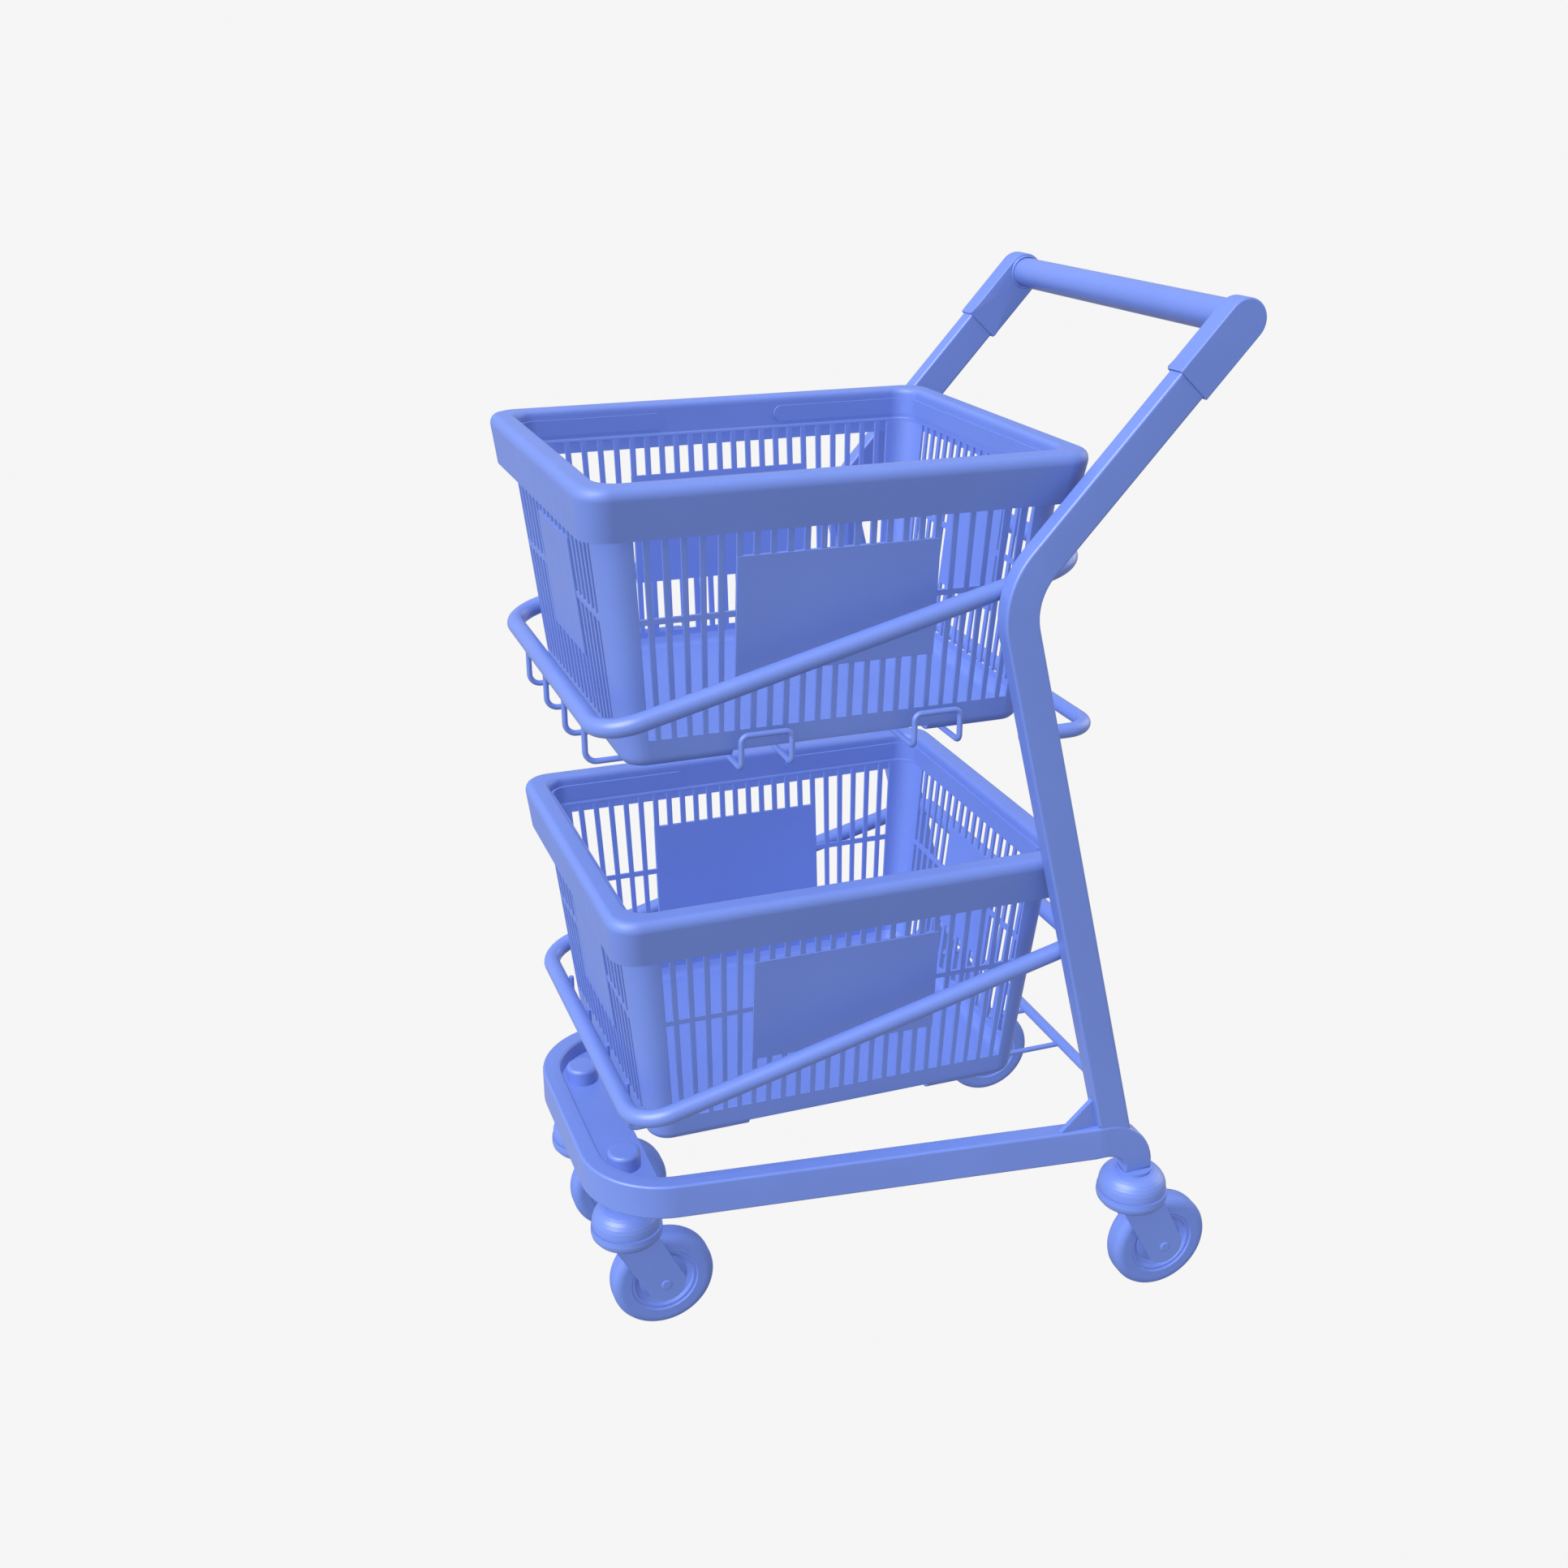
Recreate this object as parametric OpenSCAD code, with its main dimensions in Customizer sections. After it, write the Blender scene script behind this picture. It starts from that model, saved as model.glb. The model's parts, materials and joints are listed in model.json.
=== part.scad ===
// Rolling basket trolley: a tapered tube base on four swivel casters, two leaning uprights
// with a push bar, and two lift-out hand baskets held in sloping rings.
// Millimetres. +Z up, the front of the trolley faces -X, the push bar is at +X,
// the origin is on the floor under the middle. Left is -Y, right is +Y.

/* [Frame] */
// distance over the outer faces of the two uprights
frame_w = 400; // [396:1:408]
// wall thickness of the rectangular tubes
tube_wall = 2; // [1.2:0.1:2.5]
// outer radius of the round tube the basket rings are bent from
ring_r = 8; // [7:0.5:8]
// radius of the cradle wires
wire_r = 2.5; // [2:0.1:3]
// thickness of the plate between the front casters
front_plate_t = 3; // [2:0.5:4]
// thickness of the triangular gussets
gusset_t = 5; // [3:1:6]

/* [Push handle] */
// radius of the push bar
bar_r = 13.9; // [12:0.1:14.5]

/* [Casters] */
// outer radius of the tyre
wheel_r = 50; // [48:0.5:50]
// width of the tyre
tyre_w = 25; // [20:0.5:26]
// trail: swivel axis to wheel axle, measured level
caster_trail = 32.3; // [28:0.5:34]

/* [Baskets] */
// wall thickness of the moulded baskets
basket_wall = 2.5; // [2:0.1:3]
// number of slats behind each long panel
long_slats = 13; // [9:1:13]
// number of slats behind each short panel
short_slats = 8; // [6:1:8]
// number of slats on either side of a panel
side_slats = 5; // [3:1:5]
// width of one slat
slat_w = 5.2; // [4:0.1:5.5]
// pivot pin radius of the basket handles
pin_r = 3; // [2.5:0.1:3.5]

/* [Hidden] */
$fn = 32;
eps = 0.01;
blue = [0.40, 0.50, 0.80];

// base tube
half_w = frame_w / 2;
front_x = -298.9;
front_half = 142.5;
base_z = 162.5;
base_h = 34.5;
base_t = 18;
base_top = base_z + base_h;
corner_r = 81;
flush_x = 171;
taper = atan((half_w - front_half) / (flush_x - front_x));
corner_cx = front_x + corner_r;
corner_cy = front_half - corner_r * (1 - sin(taper)) / cos(taper);
elbow_rx = 52;
elbow_rz = 52;
elbow_w = 29;
elbow_end_z = 141;

// uprights, in the side plane: x and z of the bend centre, angles in degrees
leg_w = 31;
leg_t = 18;
inner_y = half_w - leg_t;
lean = 14.08;
rise = 47.7;
corner_x = 37.6;
corner_z = 729.7;
bend_out = 80;
bend_in = bend_out - leg_w;
nl = [cos(lean), sin(lean)];
nu = [sin(rise), -cos(rise)];
nk = 1 + nl[0] * nu[0] + nl[1] * nu[1];
bend_x = corner_x + bend_out * (nl[0] + nu[0]) / nk;
bend_z = corner_z + bend_out * (nl[1] + nu[1]) / nk;
leg_low_len = 560;
bend_steps = 16;
bar_x = 245.5;
bar_z = 935;
// distance from the bend's end to the push bar, along the upper leg
bar_s = (bar_x - bend_x) * cos(rise) + (bar_z - bend_z) * sin(rise);
leg_top_s = bar_s - 17;
cap_len = 66;
cap_wall = 2;
cap_r = leg_w / 2 + cap_wall + 0.3;
bar_half = half_w - 5;

// rings
ring_y = inner_y - ring_r;
ring_slope = 14.08;
up_x0 = -286.4;
up_x1 = 126.9;
up_z0 = 641;
lo_x0 = -270.2;
lo_x1 = 151;
lo_z0 = 281;
ring_corner = 34;
lo_rear_corner = 22;

// cradles
loop_r = 6.5;
loop_x = 147;
loop_z = 595;
loop_bend = 24;
cross_r = 5;
cross_x = 176;
cross_z = 239;

// casters
front_axis_x = -259;
front_axis_y = 79.5;
rear_axis_x = 216.6;
elbow_x = rear_axis_x - elbow_rx + elbow_w / 2;
rear_axis_y = half_w - base_t / 2;
dome_z = 117.5;
crown_z = 116.5;
axle_r = 4;
rim_r = 32;
leg_gap = 15;
fork_t = 3;

// baskets: half sizes, all heights measured down from the top of the rim
basket_h = 238;
skirt_h = 43;
up_basket_x = -81;
up_basket_z = basket_h + 594 + wire_r;
lo_basket_x = -69.2;
lo_basket_z = basket_h + 236 + wire_r;
rim_a = 215.4;
rim_b = 177.5;
skirt_a = 212;
skirt_b = 169.5;
in_a = 195;
in_b = 156.5;
in_r = 20;
ledge_z = -28;
wall_a = 199.6;
wall_b = 156.6;
foot_a = 179;
foot_b = 141.3;
floor_z = -229;
mid_z = -232;
foot_x = 87;
slot_low = -214;
slot_top = -31;
rib_low = -115.5;
rib_top = -110.5;
panel_top = -65.5;
panel_low = -166;
panel_a = 87;
panel_b = 52.6;
slots_long = 171;
slots_short = 132;
slots_lean = 0.065;
wall_r = 25;
pivot_x = 62;
handle_z = -16.5;
handle_h = 14.6;
handle_t = 2.4;
grip_w = 3.2;

function dir(a) = [cos(a), sin(a)];
function reversed(p) = [for (k = [len(p) - 1 : -1 : 0]) p[k]];

// ---------- frame ----------

// seen from above, one side of the base: round the front corner, back along the tapering arm,
// then straight from the upright to the rear end
function plan_corner(r) = [for (k = [0 : bend_steps])
    [corner_cx, -corner_cy] + r * dir(180 + k * (90 - taper) / bend_steps)];
function plan_side(r) = concat(plan_corner(r),
    [[flush_x + (corner_r - r) * tan(taper / 2), -half_w + corner_r - r],
        [300, -half_w + corner_r - r]]);
function mirrored(p) = [for (q = p) [q[0], -q[1]]];
function plan_outline(i) = concat(
    reversed(mirrored(plan_side(corner_r - i))), plan_side(corner_r - i),
    reversed(plan_side(corner_r - base_t + i)), mirrored(plan_side(corner_r - base_t + i)));

// seen from the side, the base: level, then round the rear elbow and down to z
function quarter(rx, rz) =
    [for (k = [0 : 12]) [elbow_x + rx * cos(90 - 7.5 * k), base_top - elbow_rz + rz * sin(90 - 7.5 * k)]];
function side_outline(i, z) = concat(
    [[front_x - 10, base_top - i]], quarter(elbow_rx - i, elbow_rz - i), [[elbow_x + elbow_rx - i, z]],
    [[elbow_x + elbow_rx - elbow_w + i, z]],
    reversed(quarter(elbow_rx - elbow_w + i, elbow_rz - base_h + i)), [[front_x - 10, base_z + i]]);

// everything below the base's top, for the foot of a leg
function under_base() = concat(
    [[0, base_top]], quarter(elbow_rx, elbow_rz), [[elbow_x + elbow_rx, 100], [0, 100]]);

module base_path(i, z) {
    intersection() {
        translate([0, 0, 100])
            linear_extrude(120)
                polygon(plan_outline(i));
        translate([0, 250, 0])
            rotate([90, 0, 0])
                linear_extrude(500)
                    polygon(side_outline(i, z));
    }
}

module base_tube() {
    color(blue)
        difference() {
            base_path(0, elbow_end_z);
            base_path(tube_wall, elbow_end_z - 5);
        }
}

// one side of a leg: up the upper leg from the bend's end, round the bend, down the lower leg
function leg_side(r, low, up) = concat(
    [[bend_x, bend_z] + r * dir(90 + rise) + up * dir(rise)],
    [for (k = [0 : bend_steps])
        [bend_x, bend_z] + r * dir(90 + rise + k * (90 + lean - rise) / bend_steps)],
    [[bend_x, bend_z] + r * dir(180 + lean) + low * dir(270 + lean)]);

// outline of a leg in its side plane; i shrinks it on both sides
function leg_outline(i, low, up) = concat(
    leg_side(bend_out - i, low, up), reversed(leg_side(bend_in + i, low, up)));

module upright() {
    translate([0, -inner_y, 0])
        rotate([90, 0, 0])
            difference() {
                linear_extrude(leg_t)
                    polygon(leg_outline(0, leg_low_len, leg_top_s));
                translate([0, 0, tube_wall])
                    linear_extrude(leg_t - 2 * tube_wall)
                        polygon(leg_outline(tube_wall, leg_low_len + 10, leg_top_s + 10));
                translate([0, 0, -5])
                    linear_extrude(leg_t + 10)
                        polygon(under_base());
            }
}

module upright_left() {
    color(blue)
        upright();
}

module upright_right() {
    color(blue)
        mirror([0, 1, 0])
            upright();
}

module gusset() {
    translate([0, -half_w + leg_t / 2 + gusset_t / 2, 0])
        rotate([90, 0, 0])
            difference() {
                linear_extrude(gusset_t)
                    polygon([[133, base_top], [190, base_top], [190, base_top + 26], [164, base_top + 29]]);
                translate([0, 0, -6])
                    linear_extrude(leg_t)
                        polygon(leg_outline(0, leg_low_len, leg_top_s));
            }
}

module gusset_left() {
    color(blue)
        gusset();
}

module gusset_right() {
    color(blue)
        mirror([0, 1, 0])
            gusset();
}

module front_plate() {
    inner = plan_corner(corner_r - base_t);
    color(blue)
        translate([0, 0, 181 - front_plate_t])
            difference() {
                linear_extrude(front_plate_t)
                    polygon(concat(reversed(mirrored(inner)), inner));
                translate([-235.5, -200, -5])
                    cube([60, 400, front_plate_t + 10]);
                for (s = [-1, 1])
                    translate([front_axis_x, s * front_axis_y, -5])
                        cylinder(r = 5, h = front_plate_t + 10);
            }
}

// quarter bend of round tube in the XY plane, centre at the origin, from angle a
module tube_bend(bend, r, a, sweep) {
    rotate([0, 0, a])
        rotate_extrude(angle = sweep)
            translate([bend, 0])
                circle(r = r);
}

module tube_x(len, r) {
    rotate([0, 90, 0])
        cylinder(r = r, h = len);
}

module tube_y(len, r) {
    rotate([-90, 0, 0])
        cylinder(r = r, h = len);
}

// closed ring of round tube in its own plane, front bar on the Y axis
module ring(len, y, r, cf, cr) {
    translate([cf, -y, 0])
        tube_x(len - cf - cr, r);
    translate([cf, y, 0])
        tube_x(len - cf - cr, r);
    translate([0, -y + cf, 0])
        tube_y(2 * (y - cf), r);
    translate([len, -y + cr, 0])
        tube_y(2 * (y - cr), r);
    translate([cf, -y + cf, 0])
        tube_bend(cf, r, 180, 90);
    translate([cf, y - cf, 0])
        tube_bend(cf, r, 90, 90);
    translate([len - cr, -y + cr, 0])
        tube_bend(cr, r, 270, 90);
    translate([len - cr, y - cr, 0])
        tube_bend(cr, r, 0, 90);
}

module upper_ring() {
    color(blue)
        translate([up_x0, 0, up_z0])
            rotate([0, -ring_slope, 0])
                ring((up_x1 - up_x0) / cos(ring_slope), ring_y, ring_r, ring_corner, ring_corner);
}

module lower_ring() {
    color(blue)
        translate([lo_x0, 0, lo_z0])
            rotate([0, -ring_slope, 0])
                ring((lo_x1 - lo_x0) / cos(ring_slope), ring_y, ring_r, ring_corner, lo_rear_corner);
}

module upper_rear_loop() {
    y = inner_y - loop_r;
    color(blue)
        translate([0, 0, loop_z]) {
            for (s = [-1, 1])
                translate([78, s * y, 0])
                    tube_x(loop_x - loop_bend - 78, loop_r);
            translate([loop_x - loop_bend, -y + loop_bend, 0])
                tube_bend(loop_bend, loop_r, 270, 90);
            translate([loop_x - loop_bend, y - loop_bend, 0])
                tube_bend(loop_bend, loop_r, 0, 90);
            translate([loop_x, -y + loop_bend, 0])
                tube_y(2 * (y - loop_bend), loop_r);
        }
}

module lower_crossbar() {
    color(blue)
        translate([cross_x, -inner_y, cross_z])
            tube_y(2 * inner_y, cross_r);
}

// one wire: hooked under the front bar of the upper ring, then level to the rear loop
module upper_wire(y) {
    b = 10;
    x0 = up_x0 + 2.5;
    translate([x0, y, 594 + b])
        cylinder(r = wire_r, h = up_z0 - 594 - b);
    translate([x0 + b, y, 594 + b])
        rotate([90, 0, 0])
            tube_bend(b, wire_r, 180, 90);
    translate([x0 + b, y, 594])
        tube_x(loop_x - x0 - b, wire_r);
}

module upper_cradle_wires() {
    color(blue)
        for (y = [-105, -35, 35, 105])
            difference() {
                upper_wire(y);
                translate([up_x0, y - 10, up_z0])
                    tube_y(20, ring_r);
                translate([loop_x, y - 10, loop_z])
                    tube_y(20, loop_r);
            }
}

// one closed wire loop: two runs under the basket joined by an upstand at each side
module stop_loop(x, w) {
    b = 6;
    y = 152;
    zl = 594 - 2 * wire_r;
    zt = 618;
    for (dx = [0, w])
        translate([x + dx, 0, 0]) {
            translate([0, -y + b, zl])
                tube_y(2 * (y - b), wire_r);
            for (s = [0, 1])
                mirror([0, s, 0]) {
                    translate([0, y - b, zl + b])
                        rotate([0, 90, 0])
                            tube_bend(b, wire_r, 0, 90);
                    translate([0, y, zl + b])
                        cylinder(r = wire_r, h = zt - zl - 2 * b);
                }
        }
    for (s = [-1, 1])
        translate([0, s * y, zt]) {
            translate([x + b, 0, 0])
                tube_x(w - 2 * b, wire_r);
            translate([x + b, 0, -b])
                rotate([90, 0, 0])
                    tube_bend(b, wire_r, 90, 90);
            translate([x + w - b, 0, -b])
                rotate([90, 0, 0])
                    tube_bend(b, wire_r, 0, 90);
        }
}

module upper_stop_loops() {
    color(blue) {
        stop_loop(-165, 44);
        stop_loop(-11, 42);
    }
}

// one wire: rises behind the front bar of the lower ring, then level to the crossbar
module lower_wire(y) {
    b = 8;
    x = lo_x0 + ring_r + wire_r;
    translate([x, y, 236 + b])
        cylinder(r = wire_r, h = lo_z0 - 236 - b + 3);
    translate([x + b, y, 236 + b])
        rotate([90, 0, 0])
            tube_bend(b, wire_r, 180, 90);
    translate([x + b, y, 236])
        tube_x(cross_x - x - b, wire_r);
}

module lower_cradle_wires() {
    color(blue)
        for (y = [-105, -35, 35, 105])
            difference() {
                lower_wire(y);
                translate([cross_x, y - 10, cross_z])
                    tube_y(20, cross_r);
            }
}

// ---------- push handle ----------

// outline of the sleeve: parallel to the leg, with a round end about the push bar
function cap_outline() = concat(
    [for (k = [0 : 24]) [bar_x, bar_z] + cap_r * dir(rise - 90 + 7.5 * k)],
    [[bar_x, bar_z] + cap_r * dir(rise + 90) - cap_len * dir(rise)],
    [[bar_x, bar_z] + cap_r * dir(rise - 90) - cap_len * dir(rise)]);

module end_cap() {
    translate([0, -inner_y, 0])
        rotate([90, 0, 0])
            difference() {
                union() {
                    translate([0, 0, -cap_wall])
                        linear_extrude(leg_t + 2 * cap_wall)
                            polygon(cap_outline());
                    translate([bar_x, bar_z, -cap_wall - 2.5])
                        cylinder(r = bar_r + 1.5, h = 6);
                }
                linear_extrude(leg_t)
                    polygon(leg_outline(0, 10, leg_top_s));
                translate([bar_x, bar_z, -10])
                    cylinder(r = bar_r, h = 10 + half_w - 5 - inner_y);
            }
}

module end_cap_left() {
    color(blue)
        end_cap();
}

module end_cap_right() {
    color(blue)
        mirror([0, 1, 0])
            end_cap();
}

module push_bar() {
    color(blue)
        translate([bar_x, 0, bar_z])
            rotate([90, 0, 0])
                difference() {
                    translate([0, 0, -bar_half])
                        cylinder(r = bar_r, h = 2 * bar_half);
                    translate([0, 0, -bar_half - 5])
                        cylinder(r = bar_r - 2, h = 2 * bar_half + 10);
                }
}

// ---------- casters ----------

module front_cap_nuts() {
    color(blue)
        for (s = [-1, 1])
            translate([front_axis_x, s * front_axis_y, 181])
                rotate_extrude()
                    polygon([[5, 0], [15.6, 0], [15.6, 13.4], [15, 14.9], [13.8, 16],
                        [12.4, 16.4], [0, 16.4], [0, 10], [5, 10]]);
}

// points of the dome: a rounded shoulder from the collar down to the widest ring
function dome_points() = [for (a = [0 : 12 : 84])
    [17 + 15.5 * sin(90 * a / 84), 121 + 17 * cos(90 * a / 84)]];

// collar, dome cover and king pin; top_z is where the collar meets the frame
module housing(x, y, top_z, stud) {
    neck = [[0, top_z + stud], [5, top_z + stud], [5, top_z], [17, top_z]];
    flat = [[0, top_z], [17, top_z]];
    color(blue)
        translate([x, y, 0])
            rotate_extrude()
                polygon(concat(stud > 0 ? neck : flat, dome_points(),
                    [[32.5, dome_z], [6, dome_z], [6, 113], [10, 113], [10, 110], [0, 110]]));
}

// a front caster is bolted up through the plate, with a stud into its cap nut
module front_housing(y) {
    housing(front_axis_x, y, 181 - front_plate_t, 12);
}

// crown and two slanted legs, swivel axis at the origin, trailing toward +X
module fork(x, y) {
    ax = caster_trail;
    color(blue)
        translate([x, y, 0])
            difference() {
                union() {
                    rotate_extrude()
                        polygon([[6.05, 113.5], [30.2, 113.5], [29, 105], [30.5, 104], [33.2, 107.5],
                            [34, 111], [33.6, crown_z], [6.05, crown_z]]);
                    for (s = [-1, 1])
                        translate([0, s * (leg_gap + fork_t / 2) + fork_t / 2, 0])
                            rotate([90, 0, 0])
                                linear_extrude(fork_t)
                                    polygon([[-19.4, 114], [22, 114], [ax + 16.2, 58.8], [ax - 16.2, 41.2],
                                        [-19.4, 106]]);
                    for (s = [-1, 1])
                        translate([ax, s * (leg_gap + fork_t / 2) + fork_t / 2, wheel_r])
                            rotate([90, 0, 0])
                                cylinder(r = 18.9, h = fork_t);
                }
                translate([ax, 25, wheel_r])
                    rotate([90, 0, 0])
                        cylinder(r = axle_r, h = 50);
            }
}

// turns a shape drawn about Z into one about the wheel's axle
module on_axle(x, y) {
    translate([x + caster_trail, y, wheel_r])
        rotate([90, 0, 0])
            children();
}

module axle(x, y) {
    h = leg_gap + fork_t;
    color(blue)
        on_axle(x, y)
            rotate_extrude()
                polygon([[0, -h - 1.5], [4, -h - 1.5], [5.4, -h - 0.8], [5.4, -h], [axle_r, -h],
                    [axle_r, h], [5.4, h], [5.4, h + 0.8], [4, h + 1.5], [0, h + 1.5]]);
}

module wheel_centre(x, y) {
    color(blue)
        on_axle(x, y)
            rotate_extrude()
                polygon([[4.05, -14.7], [9, -14.7], [10.5, -9], [24, -5.5], [28.5, -7], [29.5, -10.5],
                    [rim_r, -10.5], [rim_r, 10.5], [29.5, 10.5], [28.5, 7], [24, 5.5], [10.5, 9],
                    [9, 14.7], [4.05, 14.7]]);
}

// rounded shoulder of the tyre, from the side wall to the tread
function shoulder(s) = [for (k = [0 : 1 : 6])
    [wheel_r - 9 + 9 * sin(15 * k), s * (tyre_w / 2 - 8 + 8 * cos(15 * k))]];

module tyre(x, y) {
    color(blue)
        on_axle(x, y)
            rotate_extrude()
                polygon(concat([[rim_r, -tyre_w / 2 + 1], [rim_r + 1, -tyre_w / 2]], shoulder(-1),
                    reversed(shoulder(1)), [[rim_r + 1, tyre_w / 2], [rim_r, tyre_w / 2 - 1]]));
}

// ---------- baskets ----------

// thin slab with rounded corners, half sizes a and b, corner radius r, at height z
module slab(a, b, r, z) {
    for (sx = [-1, 1])
        for (sy = [-1, 1])
            translate([sx * (a - r), sy * (b - r), z])
                cylinder(r = r, h = eps);
}

// upright prism with rounded corners
module block(a, b, r, z0, h) {
    translate([-a + r, -b, z0])
        cube([2 * (a - r), 2 * b, h]);
    translate([-a, -b + r, z0])
        cube([2 * a, 2 * (b - r), h]);
    for (sx = [-1, 1])
        for (sy = [-1, 1])
            translate([sx * (a - r), sy * (b - r), z0])
                cylinder(r = r, h = h);
}

// slats beside the panel lean with the corners: u is the place at the slots' top end
function leaned(u, half, p, z) =
    abs(u) <= p ? u : sign(u) * (p + (abs(u) - p) * (1 - slots_lean / (half - p) * (slot_top - z)));

// centres of the slats of one wall, at the slots' top end
function slat_centres(half, n, p) = concat(
    [for (k = [side_slats : -1 : 1]) -p - k * (half - p - slat_w / 2) / (side_slats + 0.46)],
    [for (k = [0 : n - 1]) -p + 2 * p * k / (n - 1)],
    [for (k = [1 : side_slats]) p + k * (half - p - slat_w / 2) / (side_slats + 0.46)]);

module slot(u0, u1, half, p, z0, z1) {
    polygon([[leaned(u0, half, p, z0), z0], [leaned(u1, half, p, z0), z0],
        [leaned(u1, half, p, z1), z1], [leaned(u0, half, p, z1), z1]]);
}

// the slots of one pair of walls, drawn in the wall's plane
module slot_pattern(half, n, panel_half) {
    w = slat_w / 2;
    p = panel_half - w;
    c = slat_centres(half, n, p);
    edges = concat([-half], [for (u = c) each [u - w, u + w]], [half]);
    for (k = [0 : 2 : len(edges) - 2]) {
        in_panel = abs(edges[k] + edges[k + 1]) / 2 < p;
        slot(edges[k], edges[k + 1], half, p, slot_low, in_panel ? panel_low : rib_low);
        slot(edges[k], edges[k + 1], half, p, in_panel ? panel_top : rib_top, slot_top);
    }
}

// tapered slotted walls with the floor and the two feet
module basket_walls() {
    t = basket_wall;
    difference() {
        hull() {
            slab(wall_a + 1.6, wall_b + 1.2, wall_r, ledge_z - eps);
            slab(foot_a, foot_b, 20, -basket_h + 8);
            slab(foot_a - 2, foot_b - 2, 19, -basket_h + 3);
            slab(foot_a - 6.5, foot_b - 6.5, 15, -basket_h);
        }
        hull() {
            slab(wall_a + 1.6 - t, wall_b + 1.2 - t, wall_r - t, ledge_z);
            slab(foot_a - t, foot_b - t, 20 - t, -basket_h + 15);
            slab(foot_a - t - 5, foot_b - t - 5, 15, floor_z);
        }
        translate([-foot_x, -200, -basket_h - 5])
            cube([2 * foot_x, 400, 5 + basket_h + mid_z]);
        translate([0, 200, 0])
            rotate([90, 0, 0])
                linear_extrude(400)
                    slot_pattern(slots_long, long_slats, panel_a);
        rotate([90, 0, 90])
            translate([0, 0, -250])
                linear_extrude(500)
                    slot_pattern(slots_short, short_slats, panel_b);
    }
}

// skirt with its rounded top and inner face, hollow underneath, joined to the walls by a ledge
module basket_rim() {
    t = basket_wall;
    difference() {
        hull() {
            slab(skirt_a, skirt_b, 24, -skirt_h);
            slab(rim_a, rim_b, 25, -9);
            slab(rim_a - 1.2, rim_b - 1.2, 24, -4);
            slab(rim_a - 3.6, rim_b - 3.6, 22, -1.2);
            slab(rim_a - 6, rim_b - 6, 20, -eps);
        }
        difference() {
            hull() {
                slab(skirt_a - t, skirt_b - t, 22, -skirt_h - 1);
                slab(rim_a - t, rim_b - t, 22.5, -7);
                slab(rim_a - t - 3, rim_b - t - 3, 20, -3.2);
            }
            block(in_a + t, in_b + t, in_r + t, ledge_z - 3, 40);
            block(wall_a + 1.9, wall_b + 2.4, in_r + 6, ledge_z - 3, 3);
        }
        block(in_a, in_b, in_r, ledge_z, 40);
        block(in_a, wall_b - 1.2, in_r - 1, ledge_z - 5, 10);
    }
}

module pivot_axis(x, r) {
    for (s = [-1, 1])
        translate([x, s * (in_b + 4), handle_z])
            rotate([s * 90, 0, 0])
                cylinder(r = r, h = 10);
}

// blank moulded panels standing a little proud of the slats
module panels() {
    gx = atan((wall_b - foot_b) / (basket_h - 8 - skirt_h));
    gy = atan((wall_a - foot_a) / (basket_h - 8 - skirt_h));
    h = panel_top - panel_low;
    for (s = [0, 1])
        rotate([0, 0, 180 * s]) {
            translate([-panel_a, -wall_b, -skirt_h])
                rotate([gx, 0, 0])
                    translate([0, -1, panel_low + skirt_h])
                        cube([2 * panel_a, 2.2, h]);
            translate([-wall_a, -panel_b, -skirt_h])
                rotate([0, -gy, 0])
                    translate([-1, 0, panel_low + skirt_h])
                        cube([2.2, 2 * panel_b, h]);
        }
}

module basket() {
    color(blue)
        difference() {
            union() {
                basket_walls();
                basket_rim();
                panels();
            }
            for (x = [-pivot_x, pivot_x])
                pivot_axis(x, pin_r + 0.05);
        }
}

// folded bail handle: grip across the short side, arms back to the pivots
module handle() {
    y = in_b - 0.6;
    a = in_a - 0.8;
    z = handle_z - handle_h / 2;
    r = in_r - 0.6;
    color(blue) {
        translate([-a, -y + r, z])
            cube([grip_w, 2 * (y - r), handle_h]);
        for (s = [0, 1])
            mirror([0, s, 0]) {
                translate([-a + r, -y, z])
                    cube([a - r - pivot_x, handle_t, handle_h]);
                translate([-a + r, -y + r, z])
                    rotate([0, 0, 180])
                        rotate_extrude(angle = 90)
                            translate([r - handle_t, 0])
                                square([handle_t, handle_h]);
                translate([-pivot_x, -y, handle_z])
                    rotate([-90, 0, 0])
                        cylinder(r = handle_h / 2 + 0.2, h = handle_t);
                translate([-pivot_x, -in_b - basket_wall - 0.4, handle_z])
                    rotate([-90, 0, 0])
                        cylinder(r = pin_r, h = basket_wall + 2);
            }
    }
}

module upper_basket() {
    translate([up_basket_x, 0, up_basket_z])
        basket();
}

module upper_handle_front() {
    translate([up_basket_x, 0, up_basket_z])
        handle();
}

module upper_handle_rear() {
    translate([up_basket_x, 0, up_basket_z])
        rotate([0, 0, 180])
            handle();
}

module lower_basket() {
    translate([lo_basket_x, 0, lo_basket_z])
        basket();
}

module lower_handle_front() {
    translate([lo_basket_x, 0, lo_basket_z])
        handle();
}

module lower_handle_rear() {
    translate([lo_basket_x, 0, lo_basket_z])
        rotate([0, 0, 180])
            handle();
}

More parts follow.
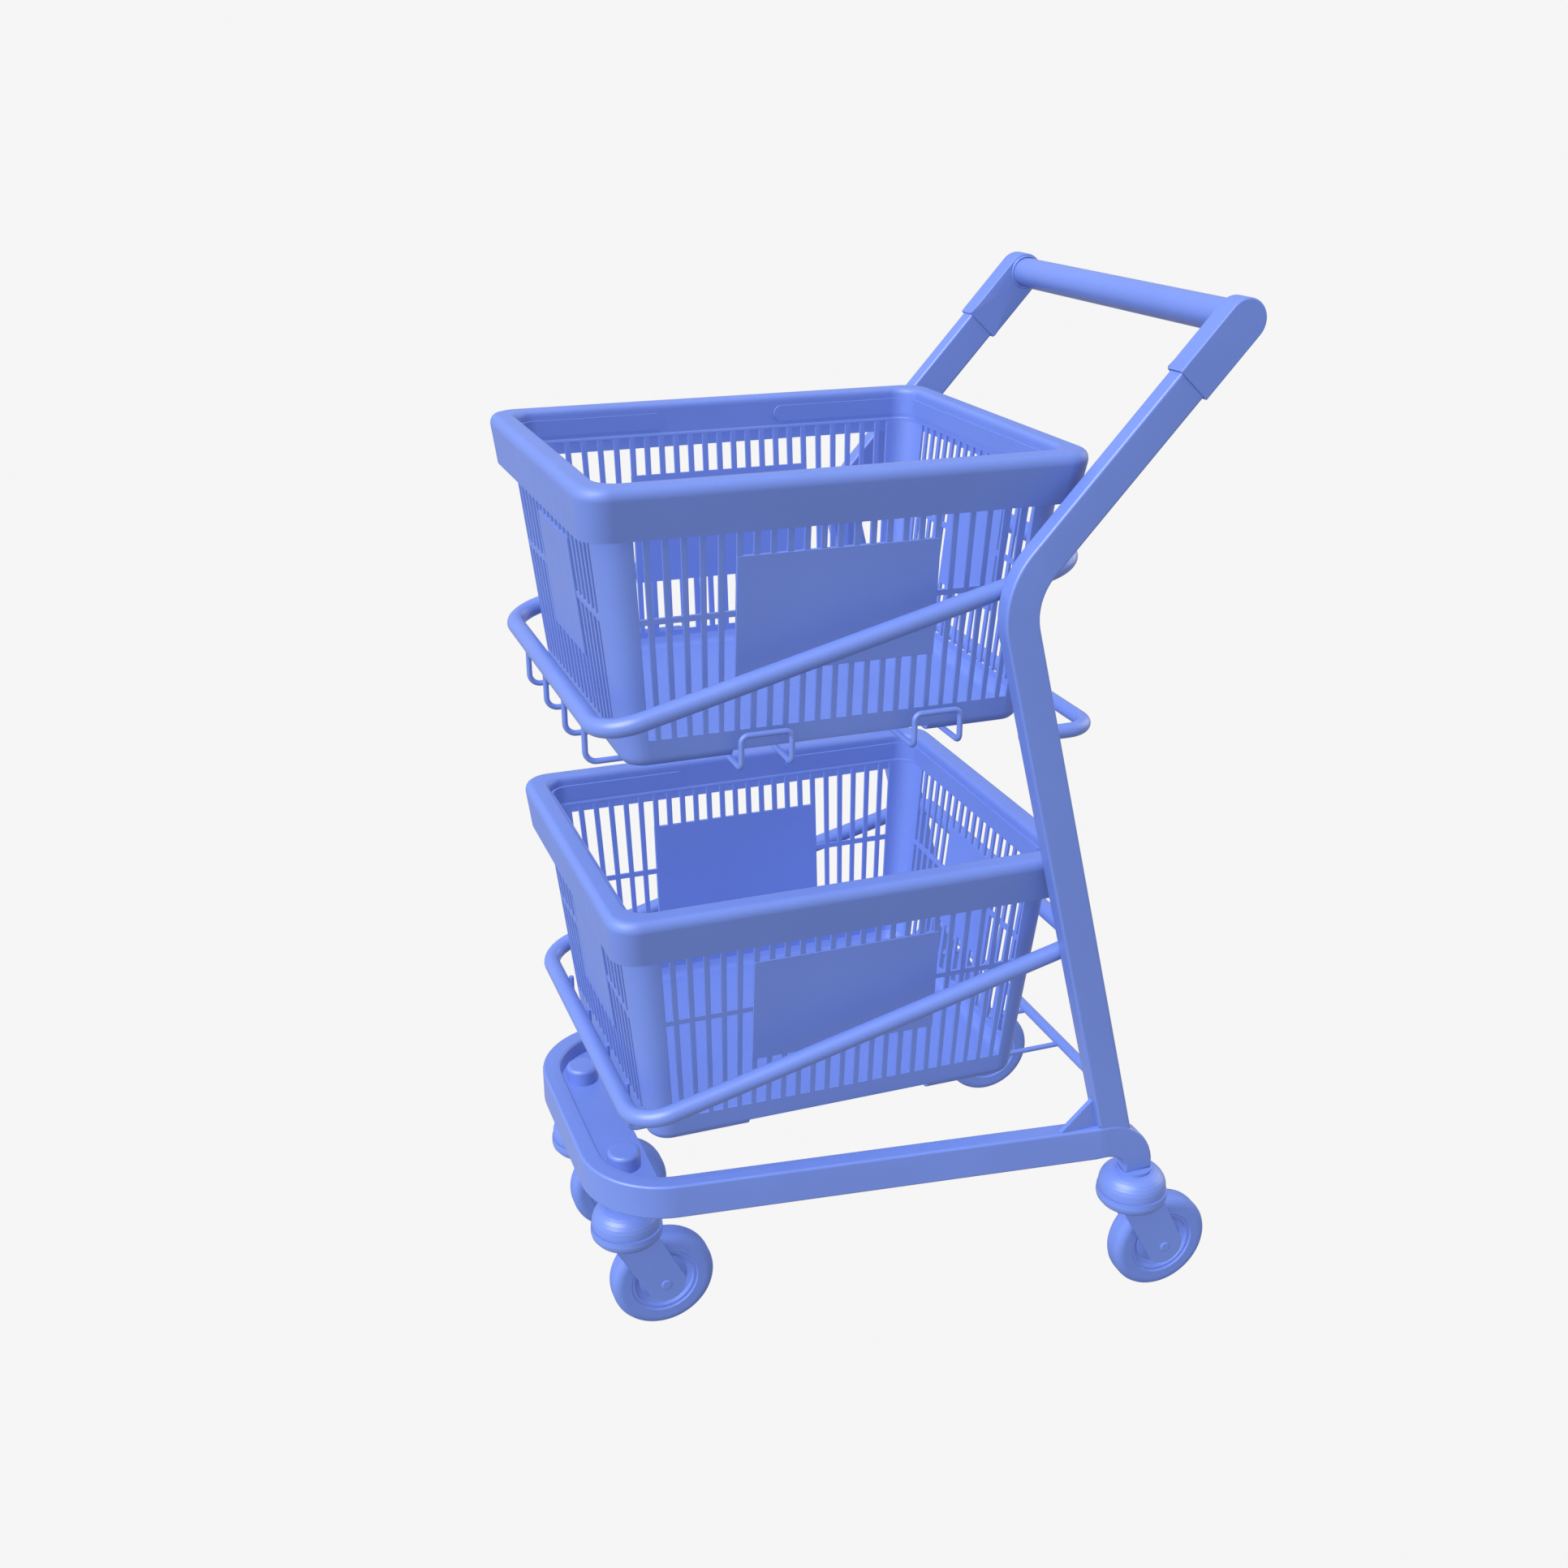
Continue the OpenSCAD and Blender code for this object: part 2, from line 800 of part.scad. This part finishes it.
base_tube();
upright_left();
upright_right();
gusset_left();
gusset_right();
front_plate();
upper_ring();
lower_ring();
upper_rear_loop();
lower_crossbar();
upper_cradle_wires();
upper_stop_loops();
lower_cradle_wires();
end_cap_left();
end_cap_right();
push_bar();
front_cap_nuts();
front_housing(-front_axis_y);  // front_left_housing
fork(front_axis_x, -front_axis_y);  // front_left_fork
axle(front_axis_x, -front_axis_y);  // front_left_axle
wheel_centre(front_axis_x, -front_axis_y);  // front_left_wheel_centre
tyre(front_axis_x, -front_axis_y);  // front_left_tyre
front_housing(front_axis_y);  // front_right_housing
fork(front_axis_x, front_axis_y);  // front_right_fork
axle(front_axis_x, front_axis_y);  // front_right_axle
wheel_centre(front_axis_x, front_axis_y);  // front_right_wheel_centre
tyre(front_axis_x, front_axis_y);  // front_right_tyre
housing(rear_axis_x, -rear_axis_y, elbow_end_z, 0);  // rear_left_housing
fork(rear_axis_x, -rear_axis_y);  // rear_left_fork
axle(rear_axis_x, -rear_axis_y);  // rear_left_axle
wheel_centre(rear_axis_x, -rear_axis_y);  // rear_left_wheel_centre
tyre(rear_axis_x, -rear_axis_y);  // rear_left_tyre
housing(rear_axis_x, rear_axis_y, elbow_end_z, 0);  // rear_right_housing
fork(rear_axis_x, rear_axis_y);  // rear_right_fork
axle(rear_axis_x, rear_axis_y);  // rear_right_axle
wheel_centre(rear_axis_x, rear_axis_y);  // rear_right_wheel_centre
tyre(rear_axis_x, rear_axis_y);  // rear_right_tyre
upper_basket();
upper_handle_front();
upper_handle_rear();
lower_basket();
lower_handle_front();
lower_handle_rear();
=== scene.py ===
"""Looks of the rolling basket trolley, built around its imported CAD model. Metres, +Z up, front at -X."""

import json
import math

import bmesh
import bpy
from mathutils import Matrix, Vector


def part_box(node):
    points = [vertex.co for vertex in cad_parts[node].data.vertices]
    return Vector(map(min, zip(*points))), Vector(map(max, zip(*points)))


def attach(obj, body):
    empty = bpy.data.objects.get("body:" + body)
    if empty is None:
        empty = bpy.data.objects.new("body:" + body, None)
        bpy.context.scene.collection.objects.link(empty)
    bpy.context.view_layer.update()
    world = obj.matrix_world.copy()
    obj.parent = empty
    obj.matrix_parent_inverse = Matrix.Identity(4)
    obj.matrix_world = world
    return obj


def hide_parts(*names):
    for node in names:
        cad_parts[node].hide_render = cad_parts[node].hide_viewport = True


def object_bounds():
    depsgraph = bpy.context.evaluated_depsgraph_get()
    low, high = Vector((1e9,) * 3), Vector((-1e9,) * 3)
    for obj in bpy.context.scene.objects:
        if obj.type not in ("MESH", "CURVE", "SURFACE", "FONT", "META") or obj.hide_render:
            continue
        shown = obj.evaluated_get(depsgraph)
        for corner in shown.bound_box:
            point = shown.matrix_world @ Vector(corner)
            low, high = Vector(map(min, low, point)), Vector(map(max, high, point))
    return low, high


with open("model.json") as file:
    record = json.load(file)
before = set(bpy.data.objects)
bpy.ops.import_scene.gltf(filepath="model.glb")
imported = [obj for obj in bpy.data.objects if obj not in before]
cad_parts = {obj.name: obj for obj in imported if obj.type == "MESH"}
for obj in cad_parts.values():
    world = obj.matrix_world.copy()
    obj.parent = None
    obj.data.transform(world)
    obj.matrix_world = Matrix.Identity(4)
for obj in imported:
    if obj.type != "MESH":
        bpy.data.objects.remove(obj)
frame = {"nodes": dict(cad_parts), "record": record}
cad_low, cad_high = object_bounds()
nodes = frame["nodes"]
scene = bpy.context.scene

# ---------- camera ----------

cam_data = bpy.data.cameras.new("camera")
cam_data.lens = 40.0
cam_data.sensor_width = 36.0
cam_data.clip_start = 0.05
cam_data.clip_end = 60.0
camera = bpy.data.objects.new("camera", cam_data)
scene.collection.objects.link(camera)
camera.location = (-0.5853, -1.4075, 1.1176)
camera.rotation_euler = (math.radians(67.762), 0.0, math.radians(-20.012))
scene.camera = camera


# ---------- materials ----------

BLUE = (0.106, 0.172, 0.500)


def node_of(tree, kind, x, y, **inputs):
    made = tree.nodes.new(kind)
    made.location = (x, y)
    for key, value in inputs.items():
        made.inputs[key].default_value = value
    return made


def finish_material(name, rough, rough_spread, grain, bump, mottle, shade=1.0, specular=0.5, coat=0.0):
    """A blue finish: fine grain in the bump, slow changes of colour and of gloss over the surface."""
    mat = bpy.data.materials.new(name)
    mat.use_nodes = True
    tree = mat.node_tree
    tree.nodes.clear()
    out = node_of(tree, "ShaderNodeOutputMaterial", 900, 0)
    shader = node_of(tree, "ShaderNodeBsdfPrincipled", 600, 0)
    shader.inputs["Specular IOR Level"].default_value = specular
    shader.inputs["Coat Weight"].default_value = coat
    shader.inputs["Coat Roughness"].default_value = 0.25
    coords = node_of(tree, "ShaderNodeTexCoord", -900, 0)
    # slow mottle of the colour
    slow = node_of(tree, "ShaderNodeTexNoise", -600, 300, Scale=9.0, Detail=3.0, Roughness=0.55)
    tree.links.new(coords.outputs["Object"], slow.inputs["Vector"])
    ramp = node_of(tree, "ShaderNodeValToRGB", -300, 300)
    base = [c * shade for c in BLUE]
    ramp.color_ramp.elements[0].position = 0.3
    ramp.color_ramp.elements[1].position = 0.7
    ramp.color_ramp.elements[0].color = [c * (1 - mottle) for c in base] + [1]
    ramp.color_ramp.elements[1].color = [min(1, c * (1 + mottle)) for c in base] + [1]
    tree.links.new(slow.outputs["Fac"], ramp.inputs["Fac"])
    tree.links.new(ramp.outputs["Color"], shader.inputs["Base Color"])
    # gloss changes a little from place to place
    smear = node_of(tree, "ShaderNodeTexNoise", -600, 0, Scale=42.0, Detail=4.0, Roughness=0.6)
    tree.links.new(coords.outputs["Object"], smear.inputs["Vector"])
    spread = node_of(tree, "ShaderNodeMapRange", -300, 0)
    spread.inputs["To Min"].default_value = max(0.05, rough - rough_spread)
    spread.inputs["To Max"].default_value = min(1.0, rough + rough_spread)
    tree.links.new(smear.outputs["Fac"], spread.inputs["Value"])
    tree.links.new(spread.outputs["Result"], shader.inputs["Roughness"])
    # fine grain
    fine = node_of(tree, "ShaderNodeTexNoise", -600, -300, Scale=grain, Detail=2.0, Roughness=0.5)
    tree.links.new(coords.outputs["Object"], fine.inputs["Vector"])
    relief = node_of(tree, "ShaderNodeBump", 200, -300, Strength=bump, Distance=0.0004)
    tree.links.new(fine.outputs["Fac"], relief.inputs["Height"])
    tree.links.new(relief.outputs["Normal"], shader.inputs["Normal"])
    tree.links.new(shader.outputs["BSDF"], out.inputs["Surface"])
    return mat


paint = finish_material("frame_paint", 0.42, 0.08, 700.0, 0.25, 0.03, coat=0.15)
bar_finish = finish_material("bar_finish", 0.36, 0.08, 900.0, 0.15, 0.03)
cap_plastic = finish_material("cap_plastic", 0.55, 0.08, 1400.0, 0.35, 0.03, shade=0.98)
plating = finish_material("caster_metal", 0.38, 0.10, 600.0, 0.2, 0.04)
wheel_plastic = finish_material("wheel_plastic", 0.5, 0.08, 1300.0, 0.3, 0.03)
tyre_rubber = finish_material("tyre_rubber", 0.72, 0.1, 1800.0, 0.45, 0.05, shade=0.98, specular=0.35)
basket_plastic = finish_material("basket_plastic", 0.5, 0.08, 1500.0, 0.3, 0.03)
handle_plastic = finish_material("handle_plastic", 0.46, 0.08, 1300.0, 0.25, 0.03)

LOOKS = {
    "frame_paint": paint, "bar_metal": bar_finish, "cap_plastic": cap_plastic, "plated_metal": plating,
    "wheel_plastic": wheel_plastic, "tyre_rubber": tyre_rubber, "basket_plastic": basket_plastic,
    "basket_handle_plastic": handle_plastic,
}
SLOT_OF = {s["node"]: s["material_slot"] for s in frame["record"]["subparts"]}

# ---------- CAD nodes ----------

# rounding of long outer edges, distance of points that count as one, step for comparing places,
# least area beside a rounded edge, and the turns that stay within a region or make an edge
TUBE_EDGE = 0.0025
CAP_EDGE = 0.0015
WELD = 0.00002
STEP = 0.00005
LEAST_AREA = 0.0004
SAME_REGION = math.radians(25.0)
SHARP = math.radians(35.0)


def dress(obj, mat):
    obj.data.materials.clear()
    obj.data.materials.append(mat)


def smooth(obj):
    obj.data.polygons.foreach_set("use_smooth", [True] * len(obj.data.polygons))


def spot(co):
    """A place in whole steps, so that the same place compares as equal on two meshes."""
    return tuple(round(c / STEP) for c in co)


def long_edges(mesh):
    """Convex edges between two smooth regions that both have more than the least area."""
    bm = bmesh.new()
    bm.from_mesh(mesh)
    bmesh.ops.remove_doubles(bm, verts=bm.verts, dist=WELD)
    bm.normal_update()
    region, areas = {}, []
    for first in bm.faces:
        if first in region:
            continue
        region[first] = len(areas)
        total, front = 0.0, [first]
        while front:
            face = front.pop()
            total += face.calc_area()
            for edge in face.edges:
                if len(edge.link_faces) == 2 and edge.calc_face_angle() < SAME_REGION:
                    for other in edge.link_faces:
                        if other not in region:
                            region[other] = len(areas)
                            front.append(other)
        areas.append(total)
    found = set()
    for edge in bm.edges:
        if len(edge.link_faces) == 2 and edge.calc_face_angle_signed() > SHARP:
            a, b = (region[face] for face in edge.link_faces)
            if a != b and min(areas[a], areas[b]) > LEAST_AREA:
                found.add(frozenset(spot(v.co) for v in edge.verts))
    bm.free()
    return found


def add_weighted_normals(obj):
    weighted = obj.modifiers.new("weighted", "WEIGHTED_NORMAL")
    weighted.keep_sharp = True


def soften(obj, width):
    """Rounds the long outer edges of a CAD node, with modifiers."""
    mesh = obj.data
    chosen = long_edges(mesh)
    weights = mesh.attributes.new("bevel_weight_edge", "FLOAT", "EDGE")
    places = [spot(v.co) for v in mesh.vertices]
    for edge in mesh.edges:
        if frozenset(places[i] for i in edge.vertices) in chosen:
            weights.data[edge.index].value = 1.0
    weld = obj.modifiers.new("weld", "WELD")
    weld.merge_threshold = WELD
    bevel = obj.modifiers.new("soft_edges", "BEVEL")
    bevel.width = width
    bevel.segments = 3
    bevel.limit_method = "WEIGHT"
    bevel.use_clamp_overlap = False
    add_weighted_normals(obj)


for name, obj in nodes.items():
    dress(obj, LOOKS[SLOT_OF[name]])
    smooth(obj)
for name in ("base_tube", "upright_left", "upright_right"):
    soften(nodes[name], TUBE_EDGE)
for name in ("end_cap_left", "end_cap_right"):
    soften(nodes[name], CAP_EDGE)

# ---------- baskets ----------

# Sizes in millimetres. Depths are below the rim's top, places from the basket's centre.
MM = 0.001
CORNER_STEPS = 8
SLOT_TOP = -31.0
PANEL_TOP = -65.5
RIB_TOP = -110.5
RIB_LOW = -115.5
PANEL_LOW = -166.0
SLOT_LOW = -214.0
MID_Z = -232.0
FOOT_Z = -238.0
WALL_TOP = -28.0
WALL_FOOT = -230.0
# half sizes and corner radius of the outside of the wall
SIZE_AT_TOP = (201.2, 157.8, 25.0)
SIZE_AT_FOOT = (179.0, 141.3, 20.0)
WALL_ROWS = (-29.0, SLOT_TOP, PANEL_TOP, RIB_TOP, RIB_LOW, PANEL_LOW, SLOT_LOW, -224.0)
# half a wall's slotted length, its slats between the side slats, and half its panel's width
LONG_SLOTS = {"half": 171.0, "slats": 13, "panel": 87.0}
SHORT_SLOTS = {"half": 132.0, "slats": 8, "panel": 52.6}
SIDE_SLATS = 5
SLAT = 5.2
SLOTS_LEAN = 0.065
# the feet are the floor's two ends, from here outwards
FOOT_X = 87.3
# how near a point is to a place, and a face's middle to the wall, to count as being there
NEAR = 0.01
ON_WALL = 1.5


def made_mesh(bm, name):
    mesh = bpy.data.meshes.new(name)
    bm.to_mesh(mesh)
    bm.free()
    return mesh


def rounded_ring(a, b, r, z, long_at=(), short_at=()):
    """Points, in millimetres, round a rectangle of half sizes a and b with corner radius r, from +X -Y."""
    points = []
    for k, (sx, sy, start) in enumerate(((1, -1, -90), (1, 1, 0), (-1, 1, 90), (-1, -1, 180))):
        for i in range(CORNER_STEPS + 1):
            angle = math.radians(start + 90.0 * i / CORNER_STEPS)
            points.append((sx * (a - r) + r * math.cos(angle), sy * (b - r) + r * math.sin(angle), z))
        if k == 0:
            points += [(a, y, z) for y in short_at]
        elif k == 1:
            points += [(x, b, z) for x in reversed(long_at)]
        elif k == 2:
            points += [(-a, y, z) for y in reversed(short_at)]
        else:
            points += [(x, -b, z) for x in long_at]
    return points


def loft(bm, rings, closed=False):
    """Outward quads between rings from top to bottom. Returns the rings' vertices and the bands' faces."""
    verts = [[bm.verts.new([c * MM for c in p]) for p in ring] for ring in rings]
    bands = []
    for k in range(len(rings) if closed else len(rings) - 1):
        high, low = verts[k], verts[(k + 1) % len(rings)]
        n = len(low)
        bands.append([bm.faces.new((low[i], low[(i + 1) % n], high[(i + 1) % n], high[i])) for i in range(n)])
    return verts, bands


def slot_edges(side, z):
    """Where each slot of a wall starts and ends at a depth. Slats beside the panel lean with the corners."""
    inner = side["panel"] - 0.5 * SLAT
    room = side["half"] - inner
    pitch = (room - 0.5 * SLAT) / (SIDE_SLATS + 0.46)
    centres = [-inner - k * pitch for k in range(SIDE_SLATS, 0, -1)]
    centres += [-inner + 2 * inner * k / (side["slats"] - 1) for k in range(side["slats"])]
    centres += [inner + k * pitch for k in range(1, SIDE_SLATS + 1)]
    edges = [-side["half"]] + [c + h for c in centres for h in (-0.5 * SLAT, 0.5 * SLAT)] + [side["half"]]
    lean = 1.0 - SLOTS_LEAN * (SLOT_TOP - z) / room
    leaned = [u if abs(u) <= inner else math.copysign(inner + (abs(u) - inner) * lean, u) for u in edges]
    return list(zip(leaned[0::2], leaned[1::2]))


def wall_size(z):
    """Half sizes and corner radius of the outside of the wall at a depth below the rim's top."""
    t = (z - WALL_TOP) / (WALL_FOOT - WALL_TOP)
    return [top + (foot - top) * t for top, foot in zip(SIZE_AT_TOP, SIZE_AT_FOOT)]


def open_slots(band_top, band_low, side, at):
    """True if the wall is open between two depths at a place along it."""

    def band_within(top, low):
        return band_top < top + 0.5 and band_low > low - 0.5

    for start, end in slot_edges(side, 0.5 * (band_top + band_low)):
        if start < at < end and band_within(SLOT_TOP, SLOT_LOW):
            if abs(0.5 * (start + end)) < side["panel"] - 0.5 * SLAT:
                return not band_within(PANEL_TOP, PANEL_LOW)
            return not band_within(RIB_TOP, RIB_LOW)
    return False


def wall_rings():
    """The wall's rings from under the rim down to the feet's undersides."""
    sizes = [(*wall_size(z), z) for z in WALL_ROWS]
    sizes += [(*SIZE_AT_FOOT, -229.5), (178.5, 140.8, 19.6, MID_Z), (177.0, 139.3, 18.6, -234.8),
              (174.8, 137.1, 16.8, -237.0), (172.0, 134.3, 14.3, FOOT_Z)]
    rings = []
    for a, b, r, z in sizes:
        long_at = sorted([e for pair in slot_edges(LONG_SLOTS, z) for e in pair] + [-FOOT_X, FOOT_X])
        short_at = sorted([e for pair in slot_edges(SHORT_SLOTS, z) for e in pair])
        rings.append(rounded_ring(a, b, r, z, long_at, short_at))
    return rings


def open_faces(verts, bands):
    """Faces to take away: the slots, and the stretch between the feet that lies under the raised middle."""
    found = set()
    for k, band in enumerate(bands):
        top_z = verts[k][0].co.z / MM
        low_z = verts[k + 1][0].co.z / MM
        for face in band:
            mid = face.calc_center_median() / MM
            a, b, _ = wall_size(mid.z)
            if abs(abs(mid.y) - b) < ON_WALL and abs(mid.x) < LONG_SLOTS["half"] + 1:
                if open_slots(top_z, low_z, LONG_SLOTS, mid.x):
                    found.add(face)
            elif abs(abs(mid.x) - a) < ON_WALL and abs(mid.y) < SHORT_SLOTS["half"] + 1:
                if open_slots(top_z, low_z, SHORT_SLOTS, mid.y):
                    found.add(face)
            if low_z < MID_Z - 0.1 and abs(mid.x) < FOOT_X:
                found.add(face)
    return found


def close_underside(bm, verts):
    """Undersides of the two feet and of the raised middle, and the steps between them."""
    mid_row, foot_row = len(WALL_ROWS) + 1, len(verts) - 1

    def ends_at(ring, x):
        on_line = sorted([v for v in ring if abs(v.co.x / MM - x) < NEAR], key=lambda v: v.co.y)
        return on_line[0], on_line[-1]

    middle = [v for v in verts[mid_row] if abs(v.co.x / MM) < FOOT_X + NEAR]
    bm.faces.new(list(reversed(middle)))
    for s in (-1, 1):
        foot = [v for v in verts[foot_row] if s * v.co.x / MM > FOOT_X - NEAR]
        if s > 0:
            # the ring starts at +X, so its two stretches there are joined in order
            split = next(i for i, v in enumerate(foot) if v.co.y > 0 and abs(v.co.x / MM - FOOT_X) < NEAR)
            foot = foot[split + 1:] + foot[:split + 1]
        bm.faces.new(list(reversed(foot)))
        ends = [ends_at(verts[row], s * FOOT_X) for row in range(mid_row, foot_row + 1)]
        step = [low for low, _ in ends] + [high for _, high in reversed(ends)]
        bm.faces.new(step if s < 0 else list(reversed(step)))


def basket_wall_mesh():
    bm = bmesh.new()
    verts, bands = loft(bm, wall_rings())
    gone = open_faces(verts, bands)
    close_underside(bm, verts)
    bmesh.ops.delete(bm, geom=[face for face in bm.faces if face in gone], context="FACES")
    bmesh.ops.recalc_face_normals(bm, faces=bm.faces)
    return made_mesh(bm, "basket_wall")


def basket_rim_mesh():
    """The rolled rim, hollow underneath. Each ring has its half sizes, corner radius and depth."""
    skirt = ((212.0, 169.5, 24.0, -43.0), (213.9, 174.0, 24.6, -24.0), (215.3, 177.3, 25.0, -10.5))
    outer_crown = ((215.4, 177.5, 25.0, -8.0), (214.9, 177.0, 24.5, -5.2), (213.5, 175.6, 23.3, -2.6),
                   (211.3, 173.4, 21.8, -0.8), (208.8, 170.9, 20.6, 0.0))
    inner_crown = ((198.9, 160.4, 20.2, 0.0), (197.2, 158.7, 20.0, -0.5), (195.9, 157.4, 20.0, -1.7),
                   (195.1, 156.6, 20.0, -3.6), (195.0, 156.5, 20.0, -6.0))
    inner_face = ((195.0, 156.5, 20.0, -27.2), (195.0, 155.9, 19.6, -28.0), (195.0, 155.4, 19.2, -28.8))
    ledge = ((195.0, 155.4, 19.2, -31.0), (201.5, 159.0, 26.0, -31.0), (201.5, 159.0, 26.0, -28.2))
    hollow = ((197.5, 159.0, 22.5, -28.2), (197.5, 159.0, 22.5, -3.4), (209.9, 172.0, 20.0, -3.4),
              (212.9, 175.0, 22.5, -9.0), (209.8, 167.6, 21.8, -43.0))
    profile = skirt + outer_crown + inner_crown + inner_face + ledge + hollow
    bm = bmesh.new()
    loft(bm, [rounded_ring(*p) for p in profile], closed=True)
    bmesh.ops.recalc_face_normals(bm, faces=bm.faces)
    return made_mesh(bm, "basket_rim")


def basket_floor_mesh():
    """The floor as seen from inside, with its cove up to the walls."""
    bm = bmesh.new()
    rows = ((177.6, 139.9, 19.0, -219.0), (176.2, 138.5, 18.0, -222.0), (175.0, 137.3, 17.0, -225.2),
            (172.8, 135.1, 15.5, -227.9), (169.6, 131.9, 13.5, -229.0), (160.0, 122.3, 10.0, -229.0))
    verts, _ = loft(bm, [rounded_ring(*p) for p in rows])
    bm.faces.new(verts[-1])
    bm.normal_update()
    # every face looks up and towards the middle
    for face in bm.faces:
        centre = face.calc_center_median()
        inward = Vector((-centre.x, -centre.y, 0.6)).normalized()
        if face.normal.dot(inward) < 0:
            face.normal_flip()
    return made_mesh(bm, "basket_floor")


def basket_panel_mesh():
    """The four plain panels, a millimetre proud of the slats."""
    bm = bmesh.new()
    for side in (LONG_SLOTS, SHORT_SLOTS):
        for s in (-1, 1):
            corners = []
            for proud in (-1.2, 1.0):
                for z in (PANEL_TOP, PANEL_LOW):
                    a, b, _ = wall_size(z)
                    for at in (-side["panel"], side["panel"]):
                        if side is LONG_SLOTS:
                            corners.append((at, s * (b + proud), z))
                        else:
                            corners.append((s * (a + proud), at, z))
            v = [bm.verts.new([c * MM for c in p]) for p in corners]
            for quad in ((0, 1, 3, 2), (4, 5, 7, 6), (0, 1, 5, 4), (2, 3, 7, 6), (0, 2, 6, 4), (1, 3, 7, 5)):
                bm.faces.new([v[i] for i in quad])
    bmesh.ops.recalc_face_normals(bm, faces=bm.faces)
    return made_mesh(bm, "basket_panel")


def round_edges(obj, width, angle=32.0):
    bevel = obj.modifiers.new("round_edges", "BEVEL")
    bevel.width = width
    bevel.segments = 2
    bevel.limit_method = "ANGLE"
    bevel.angle_limit = math.radians(angle)
    add_weighted_normals(obj)


def basket_piece(name, mesh, at, body):
    obj = bpy.data.objects.new(name, mesh)
    scene.collection.objects.link(obj)
    obj.location = at
    dress(obj, basket_plastic)
    smooth(obj)
    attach(obj, body)
    return obj


wall_mesh = basket_wall_mesh()
rim_mesh = basket_rim_mesh()
tray_mesh = basket_floor_mesh()
panel_mesh = basket_panel_mesh()
for level in ("upper", "lower"):
    node = level + "_basket"
    low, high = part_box(node)
    at = (0.5 * (low[0] + high[0]), 0.5 * (low[1] + high[1]), high[2])
    wall = basket_piece(node + "_wall", wall_mesh, at, node)
    thick = wall.modifiers.new("thickness", "SOLIDIFY")
    thick.thickness = 0.0025
    thick.offset = -1.0
    thick.use_even_offset = False
    round_edges(wall, 0.0006)
    rim = basket_piece(node + "_rim", rim_mesh, at, node)
    round_edges(rim, 0.0006, angle=40.0)
    basket_piece(node + "_floor", tray_mesh, at, node)
    panels = basket_piece(node + "_panels", panel_mesh, at, node)
    round_edges(panels, 0.0005)
    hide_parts(node)

# ---------- stage and light ----------

STUDIO = (0.92, 0.92, 0.92, 1)

bm = bmesh.new()
bmesh.ops.create_grid(bm, x_segments=2, y_segments=2, size=14.0)
floor = bpy.data.objects.new("floor", made_mesh(bm, "floor"))
scene.collection.objects.link(floor)
floor.location = (0, 0, cad_low[2] - 0.0004)
floor_mat = bpy.data.materials.new("floor")
floor_mat.use_nodes = True
tree = floor_mat.node_tree
tree.nodes.clear()
out = node_of(tree, "ShaderNodeOutputMaterial", 600, 0)
glow = node_of(tree, "ShaderNodeEmission", 0, 100, Color=STUDIO, Strength=1.0)
tree.links.new(glow.outputs["Emission"], out.inputs["Surface"])
dress(floor, floor_mat)
# the pale floor is seen but lights nothing
floor.visible_diffuse = False
floor.visible_glossy = False

# the studio is bright to look at, and lights the trolley evenly and more softly
world = bpy.data.worlds.new("studio")
scene.world = world
world.use_nodes = True
tree = world.node_tree
tree.nodes.clear()
out = node_of(tree, "ShaderNodeOutputWorld", 600, 0)
seen = node_of(tree, "ShaderNodeBackground", 0, 200, Color=STUDIO, Strength=1.0)
fill = node_of(tree, "ShaderNodeBackground", 0, 0, Color=(1, 1, 1, 1), Strength=0.53)
path = node_of(tree, "ShaderNodeLightPath", 0, 500)
blend = node_of(tree, "ShaderNodeMixShader", 300, 0)
tree.links.new(path.outputs["Is Camera Ray"], blend.inputs[0])
tree.links.new(fill.outputs["Background"], blend.inputs[1])
tree.links.new(seen.outputs["Background"], blend.inputs[2])
tree.links.new(blend.outputs["Shader"], out.inputs["Surface"])


def soft_sun(name, direction, strength):
    data = bpy.data.lights.new(name, "SUN")
    data.energy = strength
    data.angle = math.radians(50.0)
    data.use_shadow = False
    lamp = bpy.data.objects.new(name, data)
    lamp.rotation_euler = Vector(direction).to_track_quat("-Z", "Y").to_euler()
    scene.collection.objects.link(lamp)


soft_sun("key_light", (1.13, 0.56, -1.18), 5.3)
soft_sun("back_light", (-1.0, -0.15, -0.35), 1.3)
scene.view_settings.view_transform = "Standard"
